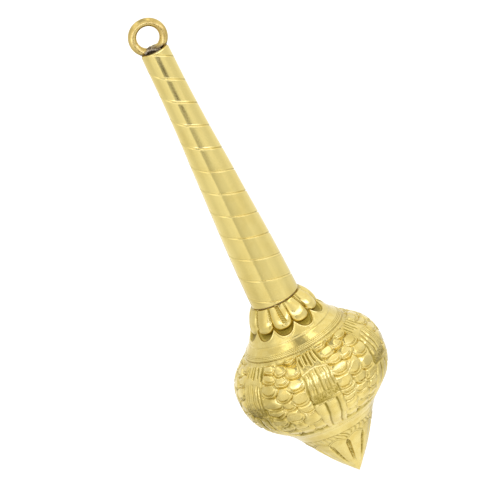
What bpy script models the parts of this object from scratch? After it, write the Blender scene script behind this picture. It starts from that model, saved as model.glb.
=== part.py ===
"""Small cast brass ceremonial mace that hangs by a ring, tip down.

A ring is brazed across the open end of a tapering tube handle with a two-start spiral groove.
The head is a column of separate castings on the same axis: petal collar, shoulder flange, a bulb in
two halves, a plain band and a spike of eleven leaves. A stud through the collar screws into a bush in the
handle's foot, with a thin washer in the joint. Lengths below are millimetres, Z is the axis, and zero
is the centre of the ring's eye. Angles are degrees round the axis from -Y toward +X.
"""

import math

import bmesh
import bpy

MM = 0.001
FIT = 0.3  # gap between pieces that touch or slide in the real object

# hanging ring, a round bar bent into a circle standing in the XZ plane
RING_BAR_RADIUS = 2.12
RING_CENTRE_RADIUS = 7.63

# handle tube
HANDLE_TOP = -6.7
HANDLE_FOOT = -145.6
HANDLE_WALL = 1.6
HANDLE_STATIONS = (
    (-6.0, 7.14),
    (-10.0, 7.22),
    (-30.5, 7.45),
    (-51.0, 8.18),
    (-71.0, 9.26),
    (-91.0, 10.25),
    (-112.0, 11.30),
    (-132.0, 12.05),
    (-147.0, 12.32),
)
GROOVE_FIRST = -7.9  # where a groove first crosses the front of the handle
GROOVE_PITCH = 13.35  # distance to the next crossing there, half a lead as there are two starts
GROOVE_PITCH_LOSS = 0.17  # each next distance is this much shorter
GROOVE_HALF_ANGLE = 6.8
GROOVE_DEPTH_SHARE = 0.050
SLOT_BOTTOM = -8.4

# threaded joint at the handle's foot, M8
STUD_RADIUS = 4.0
STUD_HOLE = STUD_RADIUS + FIT
STUD_TOP = -133.5
STUD_BOTTOM = -171.5
BUSH_TOP = -131.5
BUSH_BOTTOM = -145.4
JOINT_GAP = 0.2
WASHER_THICKNESS = 0.45

# petal collar
COLLAR_TOP = HANDLE_FOOT - 2 * JOINT_GAP - WASHER_THICKNESS
COLLAR_BOTTOM = -157.6
PETALS = 10
PETAL_PHASE = -8.0

# shoulder flange
FLANGE_TOP = -157.9
FLANGE_BOTTOM = -167.75
FLANGE_UNDER = -163.5

# bulb, widest at the middle, in two halves that meet at the seam
BULB_WALL = 3.0
BULB_TOP = -168.05
BULB_SEAM = -193.0
BULB_STATIONS = (
    (-166.5, 25.3),
    (-168.5, 27.3),
    (-170.5, 29.6),
    (-172.5, 31.9),
    (-175.0, 34.4),
    (-178.0, 36.4),
    (-181.0, 37.6),
    (-184.0, 38.2),
    (-187.0, 38.3),
    (-190.0, 38.15),
    (-193.0, 37.8),
    (-196.0, 37.1),
    (-199.0, 35.8),
    (-202.0, 33.9),
    (-205.0, 31.1),
    (-207.5, 28.4),
    (-210.0, 25.7),
    (-212.5, 23.2),
    (-215.0, 21.4),
)
PANELS = 6
PANEL_PHASE = 2.0
PANEL_HALF_ANGLE = 11.5
PANEL_RAISE = 0.35

# band and spike below the bulb, with an M6 shank
BAND_TOP = -211.6
BAND_BOTTOM = -216.5
SPIKE_TOP = -216.8
SPIKE_TIP = -244.6
SPIKE_STATIONS = (
    (-216.0, 20.5),
    (-218.0, 19.3),
    (-220.0, 18.1),
    (-222.5, 16.8),
    (-226.0, 14.8),
    (-229.0, 12.85),
    (-232.0, 10.8),
    (-235.0, 8.6),
    (-238.0, 6.2),
    (-241.0, 3.75),
    (-243.2, 1.9),
    (-244.6, 0.6),
)
LEAVES = 11
LEAF_PHASE = 3.0  # angle of the groove at the front
SHANK_RADIUS = 3.0
SHANK_HOLE = SHANK_RADIUS + FIT
SHANK_TOP = -200.7
FLOOR_THICKNESS = 3.0


def clear_scene():
    for obj in list(bpy.data.objects):
        bpy.data.objects.remove(obj)


def collection(name):
    made = bpy.data.collections.new(name)
    bpy.context.scene.collection.children.link(made)
    return made


def metal(name, colour, roughness, metallic=1.0):
    made = bpy.data.materials.new(name)
    made.use_nodes = True
    shader = made.node_tree.nodes["Principled BSDF"]
    shader.inputs["Base Color"].default_value = (*colour, 1.0)
    shader.inputs["Roughness"].default_value = roughness
    shader.inputs["Metallic"].default_value = metallic
    return made


def place(name, mesh, home, material):
    obj = bpy.data.objects.new(name, mesh)
    home.objects.link(obj)
    if material is not None:
        mesh.materials.append(material)
    if home is cutters:
        obj.hide_render = True
        obj.display_type = "WIRE"
    return obj


def between(stations, z):
    """Smooth curve through (z, radius) stations that run downward."""
    for i in range(len(stations) - 1):
        if stations[i + 1][0] <= z <= stations[i][0]:
            break
    z1, r1 = stations[i]
    z2, r2 = stations[i + 1]
    z0, r0 = stations[max(i - 1, 0)]
    z3, r3 = stations[min(i + 2, len(stations) - 1)]
    m1 = (r2 - r0) / (z2 - z0)
    m2 = (r3 - r1) / (z3 - z1)
    h = z2 - z1
    t = (z - z1) / h
    low = (2 * t**3 - 3 * t**2 + 1) * r1 + (t**3 - 2 * t**2 + t) * h * m1
    return low + (3 * t**2 - 2 * t**3) * r2 + (t**3 - t**2) * h * m2


def turned(name, outline, steps, home, material, on_axis=False):
    """Section of (radius, z), outer side downward, spun round Z; it closes on itself or on the axis."""
    mesh = bpy.data.meshes.new(name)
    count = len(outline)
    edges = [(i, i + 1) for i in range(count - 1)]
    if not on_axis:
        edges.append((count - 1, 0))
    mesh.from_pydata([(r * MM, 0.0, z * MM) for r, z in outline], edges, [])
    obj = place(name, mesh, home, material)
    spin = obj.modifiers.new("spin", "SCREW")
    spin.axis = "Z"
    spin.angle = 2 * math.pi
    spin.steps = steps
    spin.render_steps = steps
    spin.use_merge_vertices = True
    spin.merge_threshold = 0.00001
    spin.use_smooth_shade = True
    return obj


def combine(target, tool, operation):
    step = target.modifiers.new(tool.name, "BOOLEAN")
    step.operation = operation
    step.object = tool
    step.solver = "EXACT"


def block(name, low, high):
    corners = [(x, y, z) for x in (low[0], high[0]) for y in (low[1], high[1]) for z in (low[2], high[2])]
    mesh = bpy.data.meshes.new(name)
    faces = [(0, 1, 3, 2), (4, 6, 7, 5), (0, 4, 5, 1), (2, 3, 7, 6), (0, 2, 6, 4), (1, 5, 7, 3)]
    mesh.from_pydata([(x * MM, y * MM, z * MM) for x, y, z in corners], [], faces)
    return place(name, mesh, cutters, None)


def round_point(radius, z, degrees):
    angle = math.radians(degrees)
    return (radius * math.sin(angle) * MM, -radius * math.cos(angle) * MM, z * MM)


def skinned(name, rings, home, material, caps=False):
    """Skin through rings of equal count; it closes on the first ring, or ends in two centre points."""
    count = len(rings[0])
    points = [p for ring in rings for p in ring]
    faces = []
    last = len(rings) - 1 if caps else len(rings)
    for i in range(last):
        a = i * count
        b = (i + 1) % len(rings) * count
        for j in range(count):
            k = (j + 1) % count
            faces.append((a + j, b + j, b + k, a + k))
    if caps:
        for ring, flip in ((0, True), (len(rings) - 1, False)):
            points.append((0.0, 0.0, rings[ring][0][2]))
            centre = len(points) - 1
            a = ring * count
            for j in range(count):
                k = (j + 1) % count
                faces.append((centre, a + j, a + k) if flip else (centre, a + k, a + j))
    mesh = bpy.data.meshes.new(name)
    mesh.from_pydata(points, [], faces)
    shape = bmesh.new()
    shape.from_mesh(mesh)
    bmesh.ops.recalc_face_normals(shape, faces=shape.faces)
    shape.to_mesh(mesh)
    shape.free()
    mesh.shade_smooth()
    return place(name, mesh, home, material)


def hex_nut(name, across_flats, top, height, hole, material):
    bottom = top - height
    bpy.ops.mesh.primitive_cylinder_add(
        vertices=6,
        radius=across_flats / math.sqrt(3) * MM,
        depth=height * 1.5 * MM,
        location=(0, 0, (top + bottom) / 2 * MM),
    )
    prism = bpy.context.object
    bpy.ops.object.transform_apply(location=True)
    prism.name = name
    for home in list(prism.users_collection):
        home.objects.unlink(prism)
    brass_home.objects.link(prism)
    prism.data.materials.append(material)
    face = across_flats / 2 * 0.98
    corner = across_flats / math.sqrt(3) * 1.02
    drop = (corner - face) * 0.5
    outline = [
        (hole, top),
        (face, top),
        (corner, top - drop),
        (corner, bottom + drop),
        (face, bottom),
        (hole, bottom),
    ]
    combine(prism, turned(name + "_turning", outline, 18, cutters, None), "INTERSECT")
    return prism


def washer(name, hole, rim, top, thickness, steps, material):
    outline = [(hole, top), (rim, top), (rim, top - thickness), (hole, top - thickness)]
    return turned(name, outline, steps, brass_home, material)


def hanging_ring(material):
    bpy.ops.mesh.primitive_torus_add(
        major_radius=RING_CENTRE_RADIUS * MM,
        minor_radius=RING_BAR_RADIUS * MM,
        major_segments=32,
        minor_segments=12,
        rotation=(math.pi / 2, 0, 0),
    )
    ring = bpy.context.object
    bpy.ops.object.transform_apply(rotation=True)
    ring.name = "hanging_ring"
    for home in list(ring.users_collection):
        home.objects.unlink(ring)
    brass_home.objects.link(ring)
    ring.data.materials.append(material)
    ring.data.shade_smooth()
    return ring


def ring_clearance():
    """The ring with its gap all round, as a cutter."""
    bpy.ops.mesh.primitive_torus_add(
        major_radius=RING_CENTRE_RADIUS * MM,
        minor_radius=(RING_BAR_RADIUS + FIT) * MM,
        major_segments=32,
        minor_segments=12,
        rotation=(math.pi / 2, 0, 0),
    )
    ring = bpy.context.object
    bpy.ops.object.transform_apply(rotation=True)
    ring.name = "ring_clearance"
    for home in list(ring.users_collection):
        home.objects.unlink(ring)
    cutters.objects.link(ring)
    ring.hide_render = True
    ring.display_type = "WIRE"
    return ring


def ring_braze(material):
    """Braze filling the handle's open end below the ring, with beads that climb beside the bar."""
    bore = between(HANDLE_STATIONS, -10.0) - HANDLE_WALL
    rim = bore - FIT - 0.05
    outline = [
        (0.0, -8.3),
        (2.4, -8.1),
        (4.5, -7.5),
        (rim, -7.8),
        (rim, -11.8),
        (rim - 0.7, -12.5),
        (0.0, -12.7),
    ]
    plug = turned("ring_braze", outline, 20, brass_home, material, on_axis=True)
    beads = ((-142.0, -7.2, 1.45), (138.0, -7.6, 1.4), (-50.0, -7.0, 1.5), (36.0, -7.5, 1.4))
    for number, (degrees, z, radius) in enumerate(beads):
        bpy.ops.mesh.primitive_uv_sphere_add(
            segments=10,
            ring_count=7,
            radius=radius * MM,
            location=round_point(rim - radius - 0.02, z, degrees),
        )
        bead = bpy.context.object
        bead.name = f"braze_bead_{number}"
        for home in list(bead.users_collection):
            home.objects.unlink(bead)
        cutters.objects.link(bead)
        bead.hide_render = True
        bead.display_type = "WIRE"
        combine(plug, bead, "UNION")
    combine(plug, ring_clearance(), "DIFFERENCE")
    return plug


def groove_count(z):
    """How many half turns the groove has made at z, counted from GROOVE_FIRST downward."""
    curve = GROOVE_PITCH_LOSS / 2
    return (GROOVE_PITCH - math.sqrt(GROOVE_PITCH**2 - 4 * curve * (GROOVE_FIRST - z))) / (2 * curve)


def groove_height(count):
    return GROOVE_FIRST - GROOVE_PITCH * count + GROOVE_PITCH_LOSS / 2 * count**2


def grooved_section():
    """Unit section of the handle, 1 mm in radius, with the two grooves opposite each other."""
    plain = 7
    marks = []
    for start in (0.0, 180.0):
        marks.append((start - GROOVE_HALF_ANGLE, 1.0))
        marks.append((start, 1.0 - GROOVE_DEPTH_SHARE))
        marks.append((start + GROOVE_HALF_ANGLE, 1.0))
        free = 180.0 - 2 * GROOVE_HALF_ANGLE
        for i in range(1, plain + 1):
            marks.append((start + GROOVE_HALF_ANGLE + free * i / (plain + 1), 1.0))
    curve = bpy.data.curves.new("groove_section", "CURVE")
    curve.dimensions = "2D"
    spline = curve.splines.new("POLY")
    spline.points.add(len(marks) - 1)
    for point, (degrees, share) in zip(spline.points, marks, strict=True):
        angle = math.radians(degrees)
        point.co = (share * MM * math.cos(angle), share * MM * math.sin(angle), 0.0, 1.0)
    spline.use_cyclic_u = True
    return place_curve("groove_section", curve)


def place_curve(name, curve):
    obj = bpy.data.objects.new(name, curve)
    cutters.objects.link(obj)
    obj.hide_render = True
    obj.display_type = "WIRE"
    return obj


def handle_tube(material):
    """The section swept down the axis, turning with the groove and widening with the handle."""
    first = groove_count(HANDLE_TOP)
    last = groove_count(HANDLE_FOOT)
    steps = 92
    path = bpy.data.curves.new("handle_path", "CURVE")
    path.dimensions = "3D"
    path.twist_mode = "MINIMUM"
    path.bevel_mode = "OBJECT"
    path.bevel_object = grooved_section()
    path.use_fill_caps = True
    spline = path.splines.new("POLY")
    spline.points.add(steps)
    for i, point in enumerate(spline.points):
        count = first + (last - first) * i / steps
        z = groove_height(count)
        point.co = (0.0, 0.0, z * MM, 1.0)
        point.radius = between(HANDLE_STATIONS, z)
        point.tilt = -math.pi * (count + 0.5)
    swept = place_curve("handle_path", path)
    bpy.context.view_layer.update()
    graph = bpy.context.evaluated_depsgraph_get()
    mesh = bpy.data.meshes.new_from_object(swept.evaluated_get(graph))
    shape = bmesh.new()
    shape.from_mesh(mesh)
    bmesh.ops.remove_doubles(shape, verts=shape.verts, dist=0.000001)
    bmesh.ops.recalc_face_normals(shape, faces=shape.faces)
    shape.to_mesh(mesh)
    shape.free()
    mesh.name = "handle_tube"
    mesh.materials.clear()
    mesh.shade_smooth()
    bpy.data.objects.remove(swept)
    tube = place("handle_tube", mesh, brass_home, material)

    bore = [(0.0, HANDLE_TOP + 2.0)]
    inner = [z for z, _ in HANDLE_STATIONS[1:-1]]
    bore.append((between(HANDLE_STATIONS, HANDLE_TOP) - HANDLE_WALL, HANDLE_TOP + 2.0))
    for z in inner:
        bore.append((between(HANDLE_STATIONS, z) - HANDLE_WALL, z))
    bore.append((between(HANDLE_STATIONS, HANDLE_FOOT) - HANDLE_WALL, HANDLE_FOOT - 2.0))
    bore.append((0.0, HANDLE_FOOT - 2.0))
    combine(tube, turned("handle_bore", bore, 24, cutters, None, on_axis=True), "DIFFERENCE")
    half = RING_BAR_RADIUS + FIT
    combine(tube, block("ring_slot", (-12, -half, SLOT_BOTTOM), (12, half, HANDLE_TOP + 3)), "DIFFERENCE")
    return tube


def foot_bush(material):
    rim_top = between(HANDLE_STATIONS, BUSH_TOP) - HANDLE_WALL - FIT - 0.1
    rim_foot = between(HANDLE_STATIONS, BUSH_BOTTOM) - HANDLE_WALL - FIT - 0.1
    outline = [
        (STUD_HOLE, BUSH_TOP),
        (rim_top - 0.8, BUSH_TOP),
        (rim_top, BUSH_TOP - 0.8),
        (rim_foot, BUSH_BOTTOM),
        (STUD_HOLE + 0.7, BUSH_BOTTOM),
        (STUD_HOLE, BUSH_BOTTOM + 0.7),
    ]
    return turned("foot_bush", outline, 24, brass_home, material)


def neck_stud(material):
    chamfer = 0.7
    outline = [
        (0.0, STUD_TOP),
        (STUD_RADIUS - chamfer, STUD_TOP),
        (STUD_RADIUS, STUD_TOP - chamfer),
        (STUD_RADIUS, STUD_BOTTOM + chamfer),
        (STUD_RADIUS - chamfer, STUD_BOTTOM),
        (0.0, STUD_BOTTOM),
    ]
    return turned("neck_stud", outline, 20, brass_home, material, on_axis=True)


def petal_collar(material):
    """Loft from a round top to ten rounded petal ends that swell outward, hollow from below."""
    top = COLLAR_TOP
    crest = [
        (13.0, top),
        (13.5, top - 0.35),
        (14.4, -147.9),
        (15.2, -149.2),
        (16.0, -150.9),
        (16.7, -152.9),
        (17.3, -154.6),
        (17.6, -155.8),
        (17.25, -156.9),
        (16.2, -157.3),
        (15.3, -157.35),
    ]
    valley = [
        (12.5, top),
        (12.75, top - 0.35),
        (12.9, -147.9),
        (13.3, -149.2),
        (13.8, -150.6),
        (14.4, -152.0),
        (14.9, -153.2),
        (15.2, -154.1),
        (15.2, -155.1),
        (15.0, -156.1),
        (14.9, -156.8),
    ]
    start = [(STUD_HOLE, top)]
    finish = [
        (14.6, COLLAR_BOTTOM),
        (11.3, COLLAR_BOTTOM),
        (9.6, top - 3.6),
        (STUD_HOLE, top - 3.2),
    ]
    per_petal = 6
    columns = PETALS * per_petal
    rings = []
    for radius, z in start:
        rings.append([round_point(radius, z, PETAL_PHASE + 360 * j / columns) for j in range(columns)])
    for high, low in zip(crest, valley, strict=True):
        ring = []
        for j in range(columns):
            swell = abs(math.cos(math.pi * j / per_petal)) ** 0.6
            radius = low[0] + (high[0] - low[0]) * swell
            z = low[1] + (high[1] - low[1]) * swell
            ring.append(round_point(radius, z, PETAL_PHASE + 360 * j / columns))
        rings.append(ring)
    for radius, z in finish:
        rings.append([round_point(radius, z, PETAL_PHASE + 360 * j / columns) for j in range(columns)])
    return skinned("petal_collar", rings, brass_home, material)


def shoulder_flange(material):
    """Sloping turning with three fine beads round its rim and a spigot that enters the bulb."""
    spigot = between(BULB_STATIONS, BULB_TOP) - BULB_WALL - FIT - 0.9
    outline = [
        (STUD_HOLE, FLANGE_TOP),
        (17.9, FLANGE_TOP),
        (18.8, -158.8),
        (19.9, -160.3),
        (20.8, -161.4),
        (20.95, -161.8),
        (21.9, -162.9),
        (23.0, -164.2),
        (24.2, -165.35),
        (24.75, -165.9),
        (24.65, -166.15),
        (25.3, -166.55),
        (25.15, -166.8),
        (25.75, -167.25),
        (25.6, FLANGE_BOTTOM),
        (spigot, FLANGE_BOTTOM),
        (spigot, FLANGE_BOTTOM - 2.4),
        (spigot - 2.2, FLANGE_BOTTOM - 2.4),
        (spigot - 3.4, FLANGE_UNDER - 1.2),
        (11.0, FLANGE_UNDER),
        (STUD_HOLE, FLANGE_UNDER),
    ]
    return turned("shoulder_flange", outline, 36, brass_home, material)


def bulb_wall(top, bottom, rows, offset):
    """Points down the bulb's outer line, moved out along its normal by offset."""
    line = []
    for i in range(rows + 1):
        z = top + (bottom - top) * i / rows
        slope = (between(BULB_STATIONS, z - 0.05) - between(BULB_STATIONS, z + 0.05)) / -0.1
        length = math.hypot(1.0, slope)
        radius = between(BULB_STATIONS, z) + offset / length
        line.append((radius, z - offset * slope / length))
    return line


def raised_panels(name, top, bottom, rows):
    """Six upright panels that stand proud of the bulb, as a skin cut by wedges."""
    outer = bulb_wall(top, bottom, rows, PANEL_RAISE)
    inner = bulb_wall(top, bottom, rows, -1.2)
    skin = turned(name, outer + inner[::-1], 72, cutters, None)
    high = max(outer[0][1], inner[0][1]) + 5
    low = min(outer[-1][1], inner[-1][1]) - 5
    wedge = bpy.data.meshes.new(name + "_wedges")
    points = []
    faces = []
    for i in range(PANELS):
        middle = PANEL_PHASE + 360 / PANELS * i
        base = len(points)
        for z in (high, low):
            points.append(round_point(4.0, z, middle - PANEL_HALF_ANGLE))
            points.append(round_point(60.0, z, middle - PANEL_HALF_ANGLE))
            points.append(round_point(60.0, z, middle + PANEL_HALF_ANGLE))
            points.append(round_point(4.0, z, middle + PANEL_HALF_ANGLE))
        for side in ((0, 1, 2, 3), (7, 6, 5, 4), (0, 4, 5, 1), (1, 5, 6, 2), (2, 6, 7, 3), (3, 7, 4, 0)):
            faces.append(tuple(base + k for k in side))
    wedge.from_pydata(points, [], faces)
    shape = bmesh.new()
    shape.from_mesh(wedge)
    bmesh.ops.recalc_face_normals(shape, faces=shape.faces)
    shape.to_mesh(wedge)
    shape.free()
    combine(skin, place(name + "_wedges", wedge, cutters, None), "INTERSECT")
    return skin


def bulb_upper(material):
    bottom = BULB_SEAM + FIT / 2
    outer = bulb_wall(BULB_TOP, bottom, 9, 0.0)
    inner = bulb_wall(BULB_TOP, bottom, 9, -BULB_WALL)[1:-1:2]
    spigot = between(BULB_STATIONS, BULB_TOP) - BULB_WALL - 0.6
    edge = between(BULB_STATIONS, bottom) - BULB_WALL
    lip = BULB_TOP - 2.35
    outline = [(spigot, BULB_TOP)] + outer + [(edge, bottom)] + [p for p in inner[::-1] if p[1] < lip]
    outline.append((spigot, lip))
    shell = turned("bulb_upper_shell", outline, 40, brass_home, material)
    combine(shell, raised_panels("upper_panels", -170.5, BULB_SEAM + 1.0, 6), "UNION")
    return shell


def bulb_lower(material):
    top = BULB_SEAM - FIT / 2
    bottom = BAND_TOP + FIT
    outer = bulb_wall(top, bottom, 7, 0.0)
    inner = [p for p in bulb_wall(top, bottom, 7, -BULB_WALL)[1:] if p[1] > bottom + FLOOR_THICKNESS + 0.5]
    edge = between(BULB_STATIONS, top) - BULB_WALL
    outline = [(edge, top)] + outer
    outline.append((SHANK_HOLE, bottom))
    outline.append((SHANK_HOLE, bottom + FLOOR_THICKNESS))
    outline.append((inner[-1][0] - 2.6, bottom + FLOOR_THICKNESS))
    outline += inner[::-1]
    shell = turned("bulb_lower_shell", outline, 40, brass_home, material)
    combine(shell, raised_panels("lower_panels", BULB_SEAM - 1.0, -209.6, 6), "UNION")
    return shell


def seam_ring(material):
    """Backing ring inside the bulb that bridges the seam."""
    top = BULB_SEAM + 5.0
    bottom = BULB_SEAM - 5.0
    outer = bulb_wall(top, bottom, 3, -BULB_WALL - FIT - 0.15)
    inner = bulb_wall(top, bottom, 3, -BULB_WALL - FIT - 1.95)
    return turned("seam_ring", outer + inner[::-1], 40, brass_home, material)


def tip_band(material):
    outline = [
        (19.0, BAND_TOP),
        (24.0, BAND_TOP),
        (23.1, -212.6),
        (22.2, -213.9),
        (21.1, -215.4),
        (20.3, BAND_BOTTOM),
        (SHANK_HOLE, BAND_BOTTOM),
        (SHANK_HOLE, BAND_BOTTOM + 2.2),
        (15.5, BAND_BOTTOM + 2.2),
    ]
    return turned("tip_band", outline, 40, brass_home, material)


def tip_spike(material):
    """Eleven leaves that narrow to a point, parted by grooves, under a scalloped border."""
    per_leaf = 6
    columns = LEAVES * per_leaf
    pitch = 360.0 / LEAVES
    across = (0.0, 0.14, 0.32, 0.5, 0.68, 0.86)  # places from one groove to the next

    def angle(j):
        return LEAF_PHASE + pitch * (j // per_leaf + across[j % per_leaf])

    def plain(radius, z):
        return [round_point(radius, z, angle(j)) for j in range(columns)]

    rings = [
        plain(SHANK_RADIUS - 0.6, SHANK_TOP),
        plain(SHANK_RADIUS, SHANK_TOP - 0.6),
        plain(SHANK_RADIUS, SPIKE_TOP),
        plain(between(SPIKE_STATIONS, SPIKE_TOP) - 0.4, SPIKE_TOP),
    ]
    # each row: height at a leaf's middle, extra drop at a groove, groove depth, border height
    leaf_rows = (
        (-217.2, 0.0, 0.0, 0.0),
        (-218.7, 1.7, 0.0, 0.0),
        (-219.0, 1.9, 0.2, -0.3),
        (-221.6, 1.3, 0.8, -0.3),
        (-225.0, 0.5, 1.0, -0.2),
        (-230.0, 0.0, 0.8, -0.1),
        (-236.0, 0.0, 0.4, 0.0),
        (-241.5, 0.0, 0.1, 0.0),
        (-243.5, 0.0, 0.0, 0.0),
    )
    for height, drop, depth, border in leaf_rows:
        ring = []
        for j in range(columns):
            place_in_leaf = across[j % per_leaf]
            near = abs(place_in_leaf - 0.5) * 2.0
            z = height - drop * near**1.5
            flat = 1.0 - 0.030 * (1.0 - near)
            radius = (between(SPIKE_STATIONS, z) + border) * flat - (depth if near == 1.0 else 0.0)
            ring.append(round_point(max(radius, 0.2), z, angle(j)))
        rings.append(ring)
    rings.append(plain(0.6, SPIKE_TIP))
    return skinned("tip_spike", rings, brass_home, material, caps=True)


clear_scene()
brass_home = collection("ceremonial_mace")
cutters = collection("cutters")

polished = metal("polished_brass", (0.86, 0.68, 0.30), 0.12)
ring_brass = metal("ring_brass", (0.72, 0.55, 0.24), 0.25)
braze = metal("braze_metal", (0.42, 0.37, 0.28), 0.45)
bush_brass = metal("bush_brass", (0.76, 0.60, 0.30), 0.35)
fibre = metal("washer_fibre", (0.07, 0.05, 0.04), 0.85, 0.0)
stud_steel = metal("stud_steel", (0.55, 0.55, 0.54), 0.35)
collar_brass = metal("collar_brass", (0.82, 0.65, 0.29), 0.25)
flange_brass = metal("flange_brass", (0.83, 0.66, 0.30), 0.22)
upper_brass = metal("upper_bulb_brass", (0.80, 0.63, 0.28), 0.30)
lower_brass = metal("lower_bulb_brass", (0.80, 0.63, 0.28), 0.30)
seam_brass = metal("seam_brass", (0.70, 0.55, 0.28), 0.45)
nut_steel = metal("nut_steel", (0.58, 0.58, 0.56), 0.35)
washer_steel = metal("washer_steel", (0.62, 0.62, 0.60), 0.35)
band_brass = metal("band_brass", (0.84, 0.67, 0.30), 0.22)
spike_brass = metal("spike_brass", (0.84, 0.67, 0.30), 0.22)

hanging_ring(ring_brass)
ring_braze(braze)
handle_tube(polished)
foot_bush(bush_brass)
washer("joint_washer", STUD_HOLE, 11.7, HANDLE_FOOT - JOINT_GAP, WASHER_THICKNESS, 32, fibre)
neck_stud(stud_steel)
petal_collar(collar_brass)
shoulder_flange(flange_brass)
washer("stud_washer", STUD_HOLE, 8.0, FLANGE_UNDER - FIT, 1.4, 20, washer_steel)
hex_nut("stud_nut", 13.0, FLANGE_UNDER - FIT * 2 - 1.4, 5.2, STUD_HOLE, nut_steel)
bulb_upper(upper_brass)
bulb_lower(lower_brass)
seam_ring(seam_brass)
tip_band(band_brass)
tip_spike(spike_brass)
floor_top = BAND_TOP + FIT + FLOOR_THICKNESS
washer("tip_washer", SHANK_HOLE, 6.2, floor_top + FIT + 1.1, 1.1, 20, washer_steel)
hex_nut("tip_nut", 10.0, floor_top + FIT * 2 + 1.1 + 4.6, 4.6, SHANK_HOLE, nut_steel)
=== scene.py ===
"""Visual model of a small brass ceremonial mace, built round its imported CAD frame."""

import math

import bmesh  # noqa: E402
import bpy  # noqa: E402
import numpy as np  # noqa: E402
from mathutils import Matrix, Vector  # noqa: E402


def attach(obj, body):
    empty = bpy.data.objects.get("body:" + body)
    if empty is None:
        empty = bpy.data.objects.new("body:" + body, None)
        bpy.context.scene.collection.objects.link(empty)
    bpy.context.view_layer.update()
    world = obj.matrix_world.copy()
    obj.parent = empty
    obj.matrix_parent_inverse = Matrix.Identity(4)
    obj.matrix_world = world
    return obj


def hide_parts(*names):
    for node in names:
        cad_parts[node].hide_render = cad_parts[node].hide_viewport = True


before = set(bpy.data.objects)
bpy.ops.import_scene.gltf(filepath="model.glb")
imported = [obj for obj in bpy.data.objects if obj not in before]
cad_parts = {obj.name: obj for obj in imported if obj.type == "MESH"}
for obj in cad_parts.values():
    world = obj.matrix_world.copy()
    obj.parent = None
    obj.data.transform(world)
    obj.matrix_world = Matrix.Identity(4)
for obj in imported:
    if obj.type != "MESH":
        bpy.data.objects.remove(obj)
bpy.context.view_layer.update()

MM = 0.001

# ---- shape helpers, lengths in millimetres


def smooth(low, high, x):
    t = np.clip((x - low) / (high - low), 0.0, 1.0)
    return t * t * (3.0 - 2.0 * t)


def bell(x, width):
    return np.exp(-((x / width) ** 2))


def toward(a, b, share):
    return a * (1 - share) + share * b


def wrapped(angle):
    """Angle in degrees brought between -180 and 180."""
    return np.mod(angle + 180.0, 360.0) - 180.0


def around(count):
    """Evenly spaced angles round the axis, in degrees, as one row."""
    return np.linspace(0, 360, count, endpoint=False)[None, :]


def between(values, slopes, i, t, step=1.0):
    """Cubic from values[i] to values[i + 1], t being the share of the step between them."""
    start = (2 * t**3 - 3 * t**2 + 1) * values[i] + (t**3 - 2 * t**2 + t) * step * slopes[i]
    return start + (3 * t**2 - 2 * t**3) * values[i + 1] + (t**3 - t**2) * step * slopes[i + 1]


def curve_through(stations, z):
    """Cubic through (z, value) stations that run downward, at every z of an array."""
    zs = np.array([s[0] for s in stations], float)
    rs = np.array([s[1] for s in stations], float)
    slopes = np.gradient(rs, zs)
    z = np.asarray(z, float)
    i = np.clip(np.searchsorted(-zs, -z, side="right") - 1, 0, len(zs) - 2)
    h = zs[i + 1] - zs[i]
    t = np.clip((z - zs[i]) / h, 0.0, 1.0)
    return between(rs, slopes, i, t, h)


def wander(phi, z, across, along, seed):
    """Smooth noise from -1 to 1 that closes round the axis.

    across counts its cells per turn, and along its cells per mm.
    """
    rows = 512
    table = np.random.RandomState(seed).uniform(-1.0, 1.0, (rows, across))
    a = np.mod(phi / 360.0, 1.0) * across
    b = np.mod(-z * along + 7.0, rows - 1.0)
    a0 = np.floor(a).astype(int) % across
    b0 = np.floor(b).astype(int)
    fa = a - np.floor(a)
    fb = b - np.floor(b)
    fa = fa * fa * (3 - 2 * fa)
    fb = fb * fb * (3 - 2 * fb)
    a1 = (a0 + 1) % across
    top = toward(table[b0, a0], table[b0, a1], fa)
    bottom = toward(table[b0 + 1, a0], table[b0 + 1, a1], fa)
    return toward(top, bottom, fb)


def round_grid(radius, z, phi):
    """Points at angle phi in degrees from -Y toward +X."""
    angle = np.radians(phi)
    return np.stack([radius * np.sin(angle), -radius * np.cos(angle), z + 0.0 * angle], axis=-1)


def hoops(pairs, phi, dark=1.0):
    """Plain rows at (radius, height) pairs, and the darkness of their points; the default full darkness is
    painted shade on hidden insides and undersides.
    """
    rows = [round_grid(radius + 0 * phi, z + 0 * phi, phi) for radius, z in pairs]
    return np.concatenate(rows), np.full((len(pairs), phi.shape[1]), dark)


def place(name, mesh):
    obj = bpy.data.objects.new(name, mesh)
    bpy.context.scene.collection.objects.link(obj)
    return obj


def grid_mesh(name, points, tarnish_and_shade, loop=True, caps=False):
    """Skin on a grid closed across its columns, whose rows close into a loop or end in caps."""
    rows, cols = points.shape[:2]
    co = points.reshape(-1, 3) * MM
    i = np.arange(rows if loop else rows - 1)[:, None]
    j = np.arange(cols)[None, :]
    i2 = (i + 1) % rows
    j2 = (j + 1) % cols
    quads = np.stack([i * cols + j, i2 * cols + j, i2 * cols + j2, i * cols + j2], axis=-1).reshape(-1, 4)
    faces = quads.tolist()
    if caps:
        first = len(co)
        co = np.vstack([co, co[:cols].mean(axis=0), co[-cols:].mean(axis=0)])
        last = (rows - 1) * cols
        for k in range(cols):
            n = (k + 1) % cols
            faces.append([first, k, n])
            faces.append([first + 1, last + n, last + k])
    mesh = bpy.data.meshes.new(name)
    mesh.from_pydata(co.tolist(), [], faces)
    mesh.shade_smooth()
    # darkness mark that the materials read: tarnish, and painted shade in recesses, creases and hidden faces
    values = np.zeros(len(co), np.float32)
    values[: rows * cols] = tarnish_and_shade.reshape(-1)
    mesh.attributes.new("tarnish_and_shade", "FLOAT", "POINT").data.foreach_set("value", values)
    return place(name, mesh)


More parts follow.
